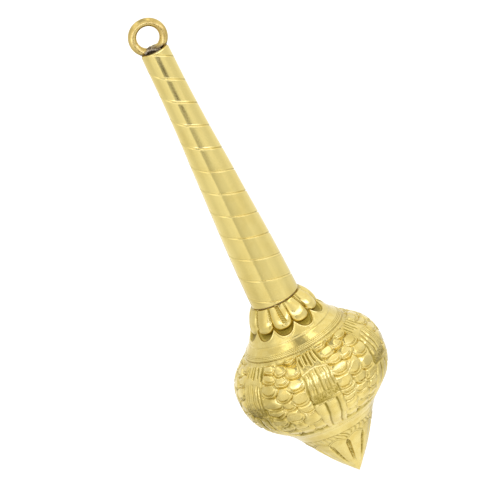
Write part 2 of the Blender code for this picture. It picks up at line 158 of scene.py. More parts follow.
def apply_modifiers(obj, name):
    """Replaces an object's mesh with what its modifiers make of it."""
    bpy.context.view_layer.update()
    graph = bpy.context.evaluated_depsgraph_get()
    made = bpy.data.meshes.new_from_object(obj.evaluated_get(graph))
    made.name = name
    obj.modifiers.clear()
    obj.data = made
    return made


def finish_piece(obj, body, material, node):
    obj.data.materials.clear()
    obj.data.materials.append(material)
    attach(obj, body)
    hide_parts(node)


# ---- materials


class Nodes:
    """Short calls for building one material's node tree."""

    def __init__(self, name):
        self.material = bpy.data.materials.new(name)
        self.material.use_nodes = True
        self.tree = self.material.node_tree
        self.shader = self.tree.nodes["Principled BSDF"]
        self.where = self.make("TexCoord").outputs["Object"]

    def link(self, a, b):
        self.tree.links.new(a, b)

    def make(self, kind, **numbers):
        node = self.tree.nodes.new("ShaderNode" + kind)
        for key, number in numbers.items():
            node.inputs[key].default_value = number
        return node

    def noise(self, scale, detail=3.0, rough=0.55, stretch=None):
        node = self.make("TexNoise", Scale=scale, Detail=detail, Roughness=rough)
        source = self.where
        if stretch is not None:
            mapping = self.make("Mapping", Scale=stretch)
            self.link(source, mapping.inputs["Vector"])
            source = mapping.outputs["Vector"]
        self.link(source, node.inputs["Vector"])
        return node.outputs["Fac"]

    def attribute(self, name):
        node = self.make("Attribute")
        node.attribute_name = name
        return node.outputs["Fac"]

    def span(self, value, a, b, c=0.0, d=1.0):
        """Value carried smoothly from a and b to c and d."""
        node = self.make("MapRange")
        node.interpolation_type = "SMOOTHSTEP"
        self.link(value, node.inputs["Value"])
        for key, number in zip(("From Min", "From Max", "To Min", "To Max"), (a, b, c, d), strict=True):
            node.inputs[key].default_value = number
        return node.outputs["Result"]

    def math(self, kind, a, b):
        node = self.make("Math")
        node.operation = kind
        for slot, value in zip(node.inputs[:2], (a, b), strict=True):
            if isinstance(value, (int, float)):
                slot.default_value = value
            else:
                self.link(value, slot)
        return node.outputs["Value"]

    def add(self, a, b):
        return self.math("ADD", a, b)

    def times(self, a, b):
        return self.math("MULTIPLY", a, b)

    def mix(self, share, a, b):
        node = self.make("Mix")
        node.data_type = "RGBA"
        self.link(share, node.inputs["Factor"])
        for key, colour in ((6, a), (7, b)):
            if isinstance(colour, tuple):
                node.inputs[key].default_value = (*colour, 1.0)
            else:
                self.link(colour, node.inputs[key])
        return node.outputs[2]

    def bump(self, height, distance, strength=1.0, chain=None):
        node = self.make("Bump", Distance=distance, Strength=strength)
        self.link(height, node.inputs["Height"])
        if chain is not None:
            self.link(chain, node.inputs["Normal"])
        return node.outputs["Normal"]

    def finish(self, colour, rough, normal, metallic=1.0):
        self.shader.inputs["Metallic"].default_value = metallic
        self.link(colour, self.shader.inputs["Base Color"])
        self.link(rough, self.shader.inputs["Roughness"])
        self.link(normal, self.shader.inputs["Normal"])
        return self.material


BRASS = (0.90, 0.735, 0.270)
BRASS_WARM = (0.84, 0.655, 0.205)
# olive and dark brass for tarnish and for painted shade in the recesses
BRASS_OLIVE_TARNISH_AND_SHADE = (0.45, 0.335, 0.060)
BRASS_DARK_TARNISH_AND_SHADE = (0.24, 0.17, 0.016)
RING_LIGHT = (0.76, 0.58, 0.20)
RING_DARK = (0.60, 0.43, 0.13)
RING_STAIN_AND_SHADE = (0.17, 0.13, 0.08)
BRAZE_LIGHT = (0.55, 0.47, 0.33)
BRAZE_DARK = (0.14, 0.11, 0.08)
STEEL_LIGHT = (0.60, 0.60, 0.60)
STEEL_DARK = (0.45, 0.45, 0.44)
INNER_LIGHT = (0.72, 0.55, 0.22)
INNER_DARK = (0.56, 0.40, 0.13)
FIBRE_LIGHT = (0.40, 0.30, 0.12)
FIBRE_DARK = (0.25, 0.18, 0.07)


def chased_brass(name, rough=0.18, grain=0.6, olive=0.35):
    """Satin cast brass: tarnish and painted shade in the recesses, olive clouds, a grainy skin and rubbed
    high spots.
    """
    n = Nodes(name)
    tarnish_and_shade = n.attribute("tarnish_and_shade")
    cloud = n.span(n.noise(55.0, 4.0), 0.46, 0.70, 0.0, olive)
    speck = n.noise(900.0, 3.0, 0.65)
    edge = n.add(tarnish_and_shade, n.times(n.math("SUBTRACT", speck, 0.5), 0.35))
    base = n.mix(n.span(n.noise(240.0, 3.0), 0.35, 0.68), BRASS, BRASS_WARM)
    base = n.mix(cloud, base, BRASS_OLIVE_TARNISH_AND_SHADE)
    # olive, then dark brass where the darkness mark is high: tarnish with painted shade in the recesses
    base = n.mix(n.span(edge, 0.15, 0.75, 0.0, 0.85), base, BRASS_OLIVE_TARNISH_AND_SHADE)
    base = n.mix(n.span(edge, 0.72, 1.15, 0.0, 0.9), base, BRASS_DARK_TARNISH_AND_SHADE)
    patchy = n.add(n.noise(420.0), n.times(tarnish_and_shade, 0.6))
    roughness = n.span(patchy, 0.3, 1.2, rough - 0.06, rough + 0.22)
    normal = n.bump(n.noise(1500.0, 3.0, 0.6), 0.00006 * grain)
    normal = n.bump(n.noise(330.0, 2.0), 0.00022 * grain, chain=normal)
    return n.finish(base, roughness, normal)


def polished_brass():
    """Buffed tube: faint lengthwise buffing lines, fingered clouds and a slightly uneven skin."""
    n = Nodes("polished_brass")
    rough = 0.13
    tarnish_and_shade = n.attribute("tarnish_and_shade")
    lines = n.noise(900.0, 2.0, 0.5, stretch=(1.0, 1.0, 0.03))
    cloud = n.noise(60.0, 4.0, 0.6)
    base = n.mix(n.span(cloud, 0.42, 0.72, 0.0, 0.75), BRASS, BRASS_WARM)
    # olive where the darkness mark is high: painted shade in the grooves and the bore
    base = n.mix(n.span(tarnish_and_shade, 0.35, 1.0, 0.0, 0.75), base, BRASS_OLIVE_TARNISH_AND_SHADE)
    blend = n.add(n.times(lines, 0.5), n.times(cloud, 0.5))
    blend = n.add(blend, n.times(tarnish_and_shade, 0.3))
    roughness = n.span(blend, 0.32, 0.85, rough - 0.03, rough + 0.16)
    normal = n.bump(n.noise(38.0, 2.0, 0.5, stretch=(1.0, 1.0, 0.35)), 0.00035, 0.6)
    normal = n.bump(lines, 0.000012, chain=normal)
    normal = n.bump(n.noise(1400.0, 2.0), 0.000012, chain=normal)
    return n.finish(base, roughness, normal)


def ring_brass():
    """Drawn bar, darker and scratched, discoloured near the braze and with painted shade inside its eye."""
    n = Nodes("ring_brass")
    darkening = n.attribute("tarnish_and_shade")
    cloud = n.noise(150.0, 4.0, 0.6)
    scratch = n.noise(1300.0, 3.0, 0.6)
    base = n.mix(n.span(cloud, 0.35, 0.7), RING_LIGHT, RING_DARK)
    # braze discolouration and painted shade inside the ring's eye, broken up by scratches
    darkened = n.add(darkening, n.times(scratch, 0.3))
    base = n.mix(n.span(darkened, 0.35, 1.0, 0.0, 0.9), base, RING_STAIN_AND_SHADE)
    roughness = n.span(scratch, 0.3, 0.75, 0.20, 0.42)
    normal = n.bump(n.noise(260.0, 2.0), 0.00007)
    normal = n.bump(scratch, 0.000015, chain=normal)
    return n.finish(base, roughness, normal)


def braze_metal():
    """Dull lumpy braze, mottled grey-brown by its flux."""
    n = Nodes("braze_metal")
    cloud = n.noise(700.0, 4.0, 0.65)
    base = n.mix(n.span(cloud, 0.36, 0.62), BRAZE_LIGHT, BRAZE_DARK)
    roughness = n.span(cloud, 0.3, 0.7, 0.28, 0.6)
    normal = n.bump(n.noise(900.0, 3.0), 0.00025)
    return n.finish(base, roughness, normal)


def plain_metal(name, light, dark, rough):
    """Machined or plated metal of the inner pieces: turning lines round the axis over faint clouds."""
    n = Nodes(name)
    lines = n.noise(260.0, 2.0, 0.5, stretch=(0.08, 0.08, 9.0))
    cloud = n.noise(180.0, 3.0, 0.6)
    base = n.mix(n.span(cloud, 0.35, 0.7), light, dark)
    roughness = n.span(lines, 0.3, 0.75, rough - 0.05, rough + 0.12)
    normal = n.bump(lines, 0.00004)
    return n.finish(base, roughness, normal)


def washer_fibre():
    """Tan pressed fibre."""
    n = Nodes("washer_fibre")
    strands = n.noise(1800.0, 3.0, 0.7)
    base = n.mix(n.span(strands, 0.35, 0.7), FIBRE_LIGHT, FIBRE_DARK)
    roughness = n.span(strands, 0.3, 0.7, 0.7, 0.95)
    return n.finish(base, roughness, n.bump(strands, 0.00008), metallic=0.0)


# ---- handle

HANDLE_TOP = -6.7
HANDLE_FOOT = -145.72  # a little past the solid's foot, so that the joint's line is thin
HANDLE_WALL = 1.6
HANDLE_STATIONS = (
    (-6.0, 7.14), (-10.0, 7.22), (-30.5, 7.45), (-51.0, 8.18), (-71.0, 9.26), (-91.0, 10.25),
    (-112.0, 11.30), (-132.0, 12.05), (-147.0, 12.32),
)
GROOVE_FIRST = -7.9  # where a groove first crosses the front of the handle
GROOVE_PITCH = 13.35  # from there to the next crossing
GROOVE_PITCH_LOSS = 0.17  # how much shorter each further distance is
RING_BAR = 2.12
RING_CENTRE = 7.63
SLOT_FLOOR = -8.4
SLOT_ROOM = 0.3  # clear of the bar on each side
STUD_BORE = 4.4
SHANK_BORE = 3.4


def groove_turn(z):
    """Angle of the first groove at height z, in degrees; the second is opposite."""
    half = GROOVE_PITCH_LOSS / 2
    return 180.0 * (GROOVE_PITCH - np.sqrt(GROOVE_PITCH**2 - 4 * half * (GROOVE_FIRST - z))) / (2 * half)


def handle_tube():
    """Tapering tube whose columns of points follow the two grooves down it."""
    # across a groove: angle from its middle, height, painted shade
    groove = (
        (-15.0, 0.0, 0.0), (-11.0, 0.05, 0.0), (-8.5, 0.05, 0.0), (-6.5, -0.02, 0.0),
        (-3.6, -0.20, 0.0), (-1.4, -0.31, 0.10), (0.4, -0.34, 0.55), (2.2, -0.27, 0.95),
        (3.8, -0.06, 0.45), (5.6, 0.04, 0.0), (8.5, 0.05, 0.0), (12.0, 0.0, 0.0),
    )
    plain = 26  # steps from one groove to the other
    last = groove[-1][0]
    gap = 180.0 + groove[0][0] - last
    marks = []
    for start in (0.0, 180.0):
        marks += [(start + a, h, d) for a, h, d in groove]
        marks += [(start + last + gap * i / plain, 0.0, 0.0) for i in range(1, plain)]
    marks = np.array(marks)
    edge = 0.22  # radius of the rounded rims
    corner = np.linspace(0, math.pi / 2, 5)
    z = np.concatenate(
        [
            HANDLE_TOP - edge * (1 - np.cos(corner)),
            np.linspace(HANDLE_TOP - edge, HANDLE_FOOT + edge, 470)[1:-1],
            HANDLE_FOOT + edge * (1 - np.sin(corner)),
        ]
    )
    inset = np.zeros_like(z)
    inset[: len(corner)] = edge * (1 - np.sin(corner))
    inset[-len(corner) :] = edge * (1 - np.cos(corner))
    outer = curve_through(HANDLE_STATIONS, z) - inset
    phi = groove_turn(z)[:, None] + marks[None, :, 0]
    fade = smooth(0.0, 0.5, HANDLE_TOP - z) * smooth(0.0, 0.6, z - HANDLE_FOOT)
    level = z[:, None] + 0 * phi
    vary = 1.0 + 0.25 * wander(phi, level, 5, 0.11, 3)
    height = marks[None, :, 1] * vary * fade[:, None]
    uneven = 0.035 * wander(phi, level, 4, 0.07, 5)
    radius = np.minimum(outer[:, None] + height + uneven * fade[:, None] - 0.03, outer[:, None])
    # painted shade along the grooves, fading toward the tube's ends
    tarnish_and_shade = np.tile(marks[None, :, 2], (len(z), 1)) * fade[:, None]
    chamfer_run, chamfer = 0.2, 0.15
    foot_row, top_row = HANDLE_FOOT + chamfer_run, HANDLE_TOP - chamfer_run
    inner_z = np.array([HANDLE_FOOT, foot_row, -120.0, -70.0, -30.0, top_row, HANDLE_TOP])
    inner = curve_through(HANDLE_STATIONS, inner_z) - HANDLE_WALL
    inner[0] += chamfer
    inner[-1] += chamfer
    # the bore's rows keep the foot's angles at the foot and the rim's at the rim
    inner_phi = np.linspace(phi[-1], phi[0], len(inner_z))
    points = np.concatenate(
        [round_grid(radius, z[:, None], phi), round_grid(inner[:, None], inner_z[:, None], inner_phi)]
    )
    # painted shade over the whole bore
    dark = np.ones((len(inner_z), len(marks)))
    return grid_mesh("handle_grip", points, np.concatenate([tarnish_and_shade, dark]))


def cut_ring_slot(tube):
    """Slot across the rim where the ring's bar drops in."""
    width = 2 * (RING_BAR + SLOT_ROOM)
    above = 3.0
    mesh = bpy.data.meshes.new("slot_cutter")
    shape = bmesh.new()
    bmesh.ops.create_cube(shape, size=1.0)
    size = Matrix.Diagonal((24.0 * MM, width * MM, (above - SLOT_FLOOR) * MM, 1))
    shape.transform(Matrix.Translation((0, 0, (SLOT_FLOOR + above) / 2 * MM)) @ size)
    shape.to_mesh(mesh)
    shape.free()
    cutter = place("slot_cutter", mesh)
    step = tube.modifiers.new("slot", "BOOLEAN")
    step.object = cutter
    step.operation = "DIFFERENCE"
    step.solver = "EXACT"
    apply_modifiers(tube, "handle_grip")
    bpy.data.objects.remove(cutter)


# ---- ring and braze


def hanging_ring():
    """Closed ring of slightly uneven bar, discoloured toward the braze and with painted shade inside its
    eye.
    """
    turn = np.linspace(0, 2 * math.pi, 160, endpoint=False)
    side = np.linspace(0, 2 * math.pi, 40, endpoint=False)
    t, s = np.meshgrid(turn, side, indexing="ij")
    degrees = np.degrees(t)
    bar = RING_BAR - 0.03 + 0.03 * wander(degrees, np.degrees(s) / 12.0, 9, 0.2, 11)
    # a touch small, so that the uneven bar stays inside the solid's outline
    centre = RING_CENTRE - 0.02
    radius = centre + bar * np.cos(s)
    x = radius * np.sin(t)
    z = radius * np.cos(t)
    y = bar * np.sin(s)
    # darker toward the braze, and painted shade on the bar's inner side, in the ring's eye
    low = np.clip((-z - 4.6) / 2.6, 0.0, 1.0)
    inside = np.clip(-np.cos(s), 0.0, 1.0) * 0.35
    return grid_mesh("ring_bar", np.stack([x, y, z], axis=-1), low * 1.1 + inside * 0.6)


def braze_fillet():
    """Beads of braze that ran together in the handle's mouth and climbed the ring, more on one side."""
    # beads: x, y, z, radius
    beads = (
        (-4.1, -1.9, -6.35, 0.95),
        (-3.0, -2.1, -5.75, 0.95),
        (-1.7, -2.2, -6.0, 0.90),
        (-0.5, -2.1, -6.3, 0.85),
        (0.9, -2.1, -6.9, 0.9),
        (-2.4, -1.2, -5.25, 0.75),
        (-3.6, -0.6, -5.0, 0.6),
        (-1.2, -1.1, -5.35, 0.62),
        (-3.3, 2.2, -6.3, 1.1),
        (-1.4, 2.3, -6.1, 1.0),
        (0.6, 2.4, -6.5, 1.0),
        (2.6, 2.2, -6.9, 1.0),
        (2.4, -2.4, -7.5, 1.0),
        (-5.6, 0.0, -7.4, 0.55),
    )
    shape = bmesh.new()
    for x, y, z, radius in beads:
        made = bmesh.ops.create_icosphere(shape, subdivisions=3, radius=radius * MM)
        bmesh.ops.translate(shape, verts=made["verts"], vec=(x * MM, y * MM, z * MM))
    # the plug that fills the tube under the beads
    made = bmesh.ops.create_cone(
        shape, cap_ends=True, segments=48, radius1=5.1 * MM, radius2=5.15 * MM, depth=4.6 * MM
    )
    bmesh.ops.translate(shape, verts=made["verts"], vec=(0, 0, -10.1 * MM))
    mesh = bpy.data.meshes.new("braze_fillet")
    shape.to_mesh(mesh)
    shape.free()
    obj = place("braze_fillet", mesh)
    remesh = obj.modifiers.new("fuse", "REMESH")
    remesh.mode = "VOXEL"
    remesh.voxel_size = 0.00022
    relax = obj.modifiers.new("relax", "SMOOTH")
    relax.factor = 0.5
    relax.iterations = 5
    made = apply_modifiers(obj, "braze_fillet")
    co = np.zeros(len(made.vertices) * 3)
    made.vertices.foreach_get("co", co)
    co = co.reshape(-1, 3) / MM
    lump = 0.09 * wander(co[:, 0] * 50.0, co[:, 2] + co[:, 1], 7, 1.4, 21)
    co[:, 2] += lump
    made.vertices.foreach_set("co", (co * MM).ravel())
    made.shade_smooth()
    return obj


# ---- collar and flange

PETALS = 10
PETAL_PHASE = -8.0


def petal_place(phi):
    """Place across the nearest petal, from -1 to 1, and the petal's number."""
    turned = phi * PETALS / 360.0 - PETAL_PHASE * PETALS / 360.0 + 0.5
    number = np.floor(turned)
    return (turned - number) * 2.0 - 1.0, number.astype(int) % PETALS


# radius and height down the middle of a petal, and down the valley between two
PETAL_CREST = (
    (12.95, -146.35), (13.45, -146.75), (14.40, -147.90), (15.55, -149.50), (16.45, -151.20),
    (17.10, -152.80), (17.55, -154.40), (17.70, -155.70), (17.60, -156.70), (17.15, -157.50),
    (16.30, -157.90),
)
PETAL_VALLEY = (
    (12.55, -146.35), (12.75, -146.75), (13.15, -147.90), (13.70, -149.10), (14.20, -150.40),
    (14.65, -151.70), (14.90, -152.80), (14.95, -153.60), (14.85, -154.40), (14.60, -155.20),
    (14.30, -156.00),
)


def spread(points, t):
    """Radius and height on a smooth line through points, t from 0 to 1."""
    pts = np.array(points, float)
    count = len(pts) - 1
    i = np.clip((t * count).astype(int), 0, count - 1)
    f = t * count - i
    return [between(pts[:, k], np.gradient(pts[:, k]), i, f) for k in range(2)]


def petal_collar():
    """Ring of rounded drooping petals with hatched creases between and along them."""
    phi = around(720)
    t = np.linspace(0.0, 1.0, 120)
    down = t[:, None]
    p, number = petal_place(phi)
    crest_r, crest_z = spread(PETAL_CREST, t)
    valley_r, valley_z = spread(PETAL_VALLEY, t)
    lobe = 0.90 + 0.10 * smooth(0.0, 0.45, down)
    swell = np.clip(1.0 - np.clip(np.abs(p) / lobe, 0, 1) ** 2.4, 0.0, 1.0) ** 0.62
    # how much higher or lower each petal ends
    own = np.array([0.10, -0.35, 0.30, 0.0, -0.2, 0.25, -0.1, 0.15, -0.25, 0.2])[number]
    radius = valley_r[:, None] + (crest_r - valley_r)[:, None] * swell
    z = valley_z[:, None] + (crest_z - valley_z)[:, None] * swell + own * smooth(0.35, 0.9, down)
    # painted shade in the valleys between the petals
    tarnish_and_shade = smooth(0.86, 1.0, np.abs(p) / lobe) * 0.75
    # hatched creases: middle angle, half width, lean, depth, where they start and stop
    creases = (
        (-57.0, 6.0, 4.0, 0.75, 0.03, 0.78),
        (-28.0, 2.4, 0.0, 0.30, 0.03, 0.60),
        (-5.0, 5.2, 8.0, 1.00, 0.02, 0.74),
        (41.0, 5.4, 10.0, 0.75, 0.04, 0.84),
        (75.0, 4.4, 2.0, 0.60, 0.05, 0.74),
        (104.0, 5.0, -4.0, 0.75, 0.04, 0.74),
        (139.0, 4.6, 5.0, 0.70, 0.03, 0.78),
        (171.0, 4.2, 8.0, 0.85, 0.02, 0.72),
        (206.0, 5.2, 3.0, 0.70, 0.05, 0.80),
        (244.0, 5.0, -3.0, 0.70, 0.05, 0.76),
        (277.0, 4.6, 7.0, 0.80, 0.03, 0.74),
    )
    for middle, half, lean, depth, start, stop in creases:
        off = wrapped(phi - middle - lean * (down - 0.4))
        shape = smooth(half, 0.35 * half, np.abs(off)) * smooth(start - 0.03, start + 0.05, down)
        shape = shape * smooth(stop, stop - 0.18, down)
        hatch = 0.5 + 0.5 * np.sin(z * 6.5 + off * 0.9)
        radius = radius - shape * (depth + 0.30 * (hatch - 0.5))
        tarnish_and_shade = np.maximum(tarnish_and_shade, shape * (0.45 + 0.45 * hatch))
    # painted shade under each petal's rolled end, and in the joint line along the petals' top
    tarnish_and_shade = np.maximum(tarnish_and_shade, smooth(0.76, 0.93, down))
    tarnish_and_shade = np.maximum(tarnish_and_shade, smooth(0.035, 0.0, down) * 0.6)
    radius = radius + 0.05 * wander(phi, z, 40, 0.4, 31)
    top, clean = hoops(((STUD_BORE, PETAL_CREST[0][1]),), phi, 0.0)
    under = ((14.6, -157.9), (13.6, -157.6), (11.3, -157.6), (9.6, -150.0), (STUD_BORE, -149.6))
    # the underside gets full painted shade
    skirt, dark = hoops(under, phi)
    points = np.concatenate([top, round_grid(radius, z, phi), skirt])
    return grid_mesh("petals", points, np.concatenate([clean, tarnish_and_shade, dark]))


SHOULDER_STATIONS = (
    (-155.0, 16.75), (-156.6, 17.75), (-158.0, 18.65), (-159.4, 19.55), (-160.6, 20.30),
    (-161.8, 20.95), (-162.6, 21.45), (-163.5, 22.25), (-164.4, 23.12), (-165.4, 24.10),
)


def shoulder_flange():
    """Sloping shoulder: a cup with a crisp edge under each petal, a smooth slope and three fine beads."""
    cols = 720
    phi = around(cols)
    p, number = petal_place(phi)
    own = np.array([0.15, -0.45, 0.10, 0.0, -0.3, 0.2, -0.15, 0.2, -0.3, 0.1])[number]
    edge = -159.9 + 4.3 * np.abs(p) ** 2.3 + own * (1 - np.abs(p) ** 2)
    rim = curve_through(SHOULDER_STATIONS, edge)
    ridge, furrow, foot = -161.95, -162.6, -165.35
    parts = []
    marks = []
    # each row across the cup: inward, upward, painted shade under the petal
    cup = (
        (-3.9, 2.9, 1.1), (-3.3, 2.2, 1.1), (-2.75, 1.55, 1.1), (-2.2, 0.95, 1.05),
        (-1.6, 0.45, 0.95), (-1.05, 0.12, 0.80), (-0.60, -0.04, 0.85), (-0.30, 0.0, 0.50),
        (-0.08, 0.05, 0.05), (0.12, -0.08, 0.0), (0.24, -0.30, 0.0),
    )
    for inward, upward, dark in cup:
        parts.append(round_grid(rim + inward, edge + upward, phi))
        marks.append(np.full((1, cols), dark))
    for t in np.linspace(0.0, 1.0, 46):
        start = edge - 0.55
        z = start + (foot - start) * t
        radius = curve_through(SHOULDER_STATIONS, z)
        line = -0.16 * bell(z - edge + 0.95, 0.28) + 0.15 * bell(z - ridge, 0.35)
        line = line - 0.20 * bell(z - furrow, 0.30)
        hollow = -0.03 * np.sin(np.pi * np.clip((furrow - z) / 2.8, 0.0, 1.0))
        uneven = 0.07 * wander(phi, z, 26, 0.3, 41)
        parts.append(round_grid(radius + line + hollow + uneven, z, phi))
        # a darker line under the cup's edge and a patchy darker line along the furrow
        darkening = bell(z + 162.55, 0.35) * (0.35 + 0.45 * wander(phi, z, 24, 0.2, 44))
        marks.append(np.clip(0.30 * bell(z - edge + 0.95, 0.3) + darkening, 0, 1))
    # beads: radius, height, darkness
    beads = (
        (24.20, -165.50, 0.9), (24.45, -165.60, 0.1), (24.62, -165.78, 0.0), (24.60, -165.98, 0.2),
        (24.55, -166.10, 1.0), (24.88, -166.22, 0.1), (25.08, -166.40, 0.0), (25.07, -166.60, 0.2),
        (25.02, -166.72, 1.0), (25.35, -166.84, 0.1), (25.58, -167.02, 0.0), (25.62, -167.25, 0.2),
        (25.60, -167.45, 0.8), (25.68, -167.70, 0.4), (25.75, -167.98, 0.8),
    )
    for radius, level, dark in beads:
        wave = 0.06 * wander(phi, np.full_like(phi, level), 40, 0.8, 43)
        slip = 0.16 * wander(phi, np.full_like(phi, -166.0), 7, 0.1, 45)
        cut = 0.05 * np.sin(np.radians(phi) * 150.0 + level * 5.0)
        parts.append(round_grid(radius + wave + cut - 0.6 * slip, level + slip + 0 * phi, phi))
        marks.append(np.full((1, cols), dark * 0.9))
    under = ((21.2, -167.98), (21.2, -170.1), (19.0, -170.1), (17.8, -165.0), (11.0, -163.5))
    bore = ((STUD_BORE, -163.5), (STUD_BORE, -158.0), (11.8, -157.95))
    # the underside and bore get full painted shade
    plain, dark = hoops(under + bore, phi)
    return grid_mesh("shoulder", np.concatenate(parts + [plain]), np.concatenate(marks + [dark]))


# ---- bulb

BULB_STATIONS = (
    (-166.5, 25.3), (-168.5, 27.3), (-170.5, 29.6), (-172.5, 31.9), (-175.0, 34.4), (-178.0, 36.4),
    (-181.0, 37.6), (-184.0, 38.2), (-187.0, 38.3), (-190.0, 38.15), (-193.0, 37.8), (-196.0, 37.1),
    (-199.0, 35.8), (-202.0, 33.9), (-205.0, 31.1), (-207.5, 28.4), (-210.0, 25.7), (-212.5, 23.2),
    (-215.0, 21.4),
)
SEAM = -193.0
SEAM_HALF_GAP = 0.01
SIXTH = 60.0
REEDS_TOP = -175.1
PATCH_TOP = -187.4
CROSS_LINE = -192.1
FLUTE_LENGTH = 16.0
HEM_TOP = -209.0
DASHES = -208.9
PANEL_PHASE = 2.0
# the relief's ceiling over the outline: the solid's wall is raised on the panels
PANEL_HALF_ANGLE = 12.0
PANEL_CEILING = 0.25
SCALE_CEILING = -0.02
# heights of the scales' lower edges, for the three columns of a sixth, in two arrangements
SCALE_ROWS = (
    (
        (-170.4, -174.2, -178.3, -184.4, -191.9, -195.4, -199.2, -205.0, -208.9),
        (-169.2, -173.6, -179.2, -188.6, -194.6, -199.2, -204.0, -208.3),
        (-171.5, -176.6, -183.0, -190.8, -196.9, -201.2, -205.6, -209.0),
    ),
    (
        (-168.9, -172.3, -176.0, -181.7, -189.6, -194.3, -198.8, -203.2, -207.8),
        (-169.2, -173.4, -178.2, -185.3, -191.3, -198.3, -204.0, -208.4),
        (-169.9, -176.0, -182.6, -190.1, -195.6, -203.0, -208.3),
    ),
)
COLUMN_CENTRES = (18.0, 30.3, 42.0)
SCALE_HALF = (7.4, 7.0, 7.4)
SCALE_POWER = 2.3


def arc_length(z):
    """Distance along the bulb's outline to each of the heights z."""
    r = curve_through(BULB_STATIONS, z)
    return np.concatenate([[0.0], np.cumsum(np.hypot(np.diff(z), np.diff(r)))])


def all_scales():
    """Every scale as middle angle, foot height, half width, length, boss and tilt, from the tip upward."""
    rng = np.random.RandomState(71)
    scales = []
    for sixth in range(6):
        calm = 0.6 if sixth in (0, 5) else 1.0
        for column, centre in enumerate(COLUMN_CENTRES):
            rows = SCALE_ROWS[sixth % 2][column]
            for k, foot in enumerate(rows):
                gap = rows[k - 1] - foot if k else 3.5
                shift = rng.uniform(-0.9, 0.9) * calm
                drop = rng.uniform(-0.35, 0.35) * calm
                half = SCALE_HALF[column] * rng.uniform(0.90, 1.16)
                boss = rng.uniform(0.65, 1.2)
                tilt = rng.uniform(-1.0, 1.0)
                middle = PANEL_PHASE + SIXTH * sixth + centre + shift
                scales.append((middle, foot + drop, half, gap + 4.2, boss, tilt))
    return sorted(scales, key=lambda scale: scale[1])


def lay_scale(height, tarnish_and_shade, columns, phi, arc, scale, foot_arc):
    """Lays one U-shaped scale, with a rim, a line inside it and a domed middle, over what is there."""
    middle, foot, half, length, boss, tilt = scale
    near = np.nonzero(np.abs(wrapped(columns - middle)) < half + 3.0)[0]
    rows = np.nonzero((arc[:, 0] > foot_arc - 1.5) & (arc[:, 0] < foot_arc + length))[0]
    if len(rows) == 0:
        return
    spot = np.ix_(rows, near)
    wide = math.radians(half) * float(curve_through(BULB_STATIONS, np.array([foot]))[0])
    rise = min(0.95 * wide, 0.62 * length)
    x = wrapped(phi[spot] - middle) / half
    y = arc[spot] - foot_arc
    below = np.clip((rise - y) / rise, 0.0, None)
    x = x + 0.22 * tilt * np.clip(1.0 - y / rise, 0.0, 1.0)
    reach = (np.abs(x) ** SCALE_POWER + below**SCALE_POWER) ** (1.0 / SCALE_POWER)
    d = (1.0 - reach) * wide
    small = min(1.0, length / 9.0)
    top = y / length
    lip = smooth(0.0, 0.42, d)
    front = smooth(0.95, 0.20, y / rise)
    dome = np.clip(1.0 - reach**2.0, 0.0, 1.0) * smooth(1.05, 0.30, top)
    # the rim is thicker on one side
    rim = np.clip(0.62 + 0.26 * tilt * x, 0.3, 0.9) * (0.55 + 0.45 * small)
    face = -0.60 + 1.15 * boss * small * dome + 0.30 * tilt * x
    face = face + (0.52 * bell(d - rim, 0.70 * rim) - 0.55 * bell(d - 2.1 * rim, 0.75 * rim)) * front
    face = face - 0.90 * smooth(0.40, 0.95, top)
    under = height[spot] - (0.10 + 0.30 * front) * bell(d + 0.12, 0.45)
    height[spot] = np.where(d > 0, toward(under, face, lip), under)
    # painted shade: a dark line inside the rim, more toward the top where the next scale overlaps, a little
    # off the dome
    shade = 0.55 * bell(d - 2.0 * rim, 0.60 * rim) * front + 0.40 * smooth(0.50, 0.95, top)
    shade = shade + 0.10 * (1.0 - dome)
    # painted shade just outside the scale's edge, strongest under its lower lip
    foot_shade = np.maximum(tarnish_and_shade[spot] * (d <= 0), (0.20 + 0.45 * front) * bell(d + 0.10, 0.34))
    tarnish_and_shade[spot] = np.where(d > 0, toward(foot_shade, shade, lip), foot_shade)


# angle, top and bottom of each short stroke
STROKES = (
    (-8.7, -169.4, -173.2), (-3.6, -168.5, -172.9), (0.0, -168.3, -173.6), (5.0, -168.6, -173.0),
    (9.8, -168.6, -174.2),
)
# angle of each line between two reeds, and how bold it is
REED_LINES = (
    (-10.4, 0.9), (-6.9, 0.6), (-4.6, 0.9), (-1.4, 0.5), (0.9, 1.0), (3.9, 0.6), (6.6, 0.8),
    (9.6, 0.9),
)


